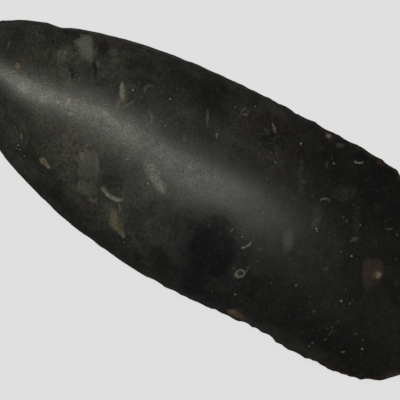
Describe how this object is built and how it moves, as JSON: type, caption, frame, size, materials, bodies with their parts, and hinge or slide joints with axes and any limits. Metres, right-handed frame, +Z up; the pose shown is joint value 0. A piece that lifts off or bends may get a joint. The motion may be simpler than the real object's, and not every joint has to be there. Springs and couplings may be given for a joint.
{
  "type": "polished stone axe head",
  "caption": "Dark ground and polished stone axe head with a blunt butt, lens-shaped section, sharp chipped sides and a curved, skewed cutting edge, lying on one face.",
  "frame": {"origin": "under the middle of the axe head's outline, on the small flat that it rests on", "axes": "+X along the axe head from the butt to the cutting edge, +Y towards its left side seen from above, +Z up through its two faces"},
  "size_m": [0.15, 0.0596, 0.0257],
  "materials": {
    "dark_stone": "satin, ground and polished"
  },
  "bodies": {
    "root": {"axe_head": "dark_stone"}
  },
  "joints": []
}
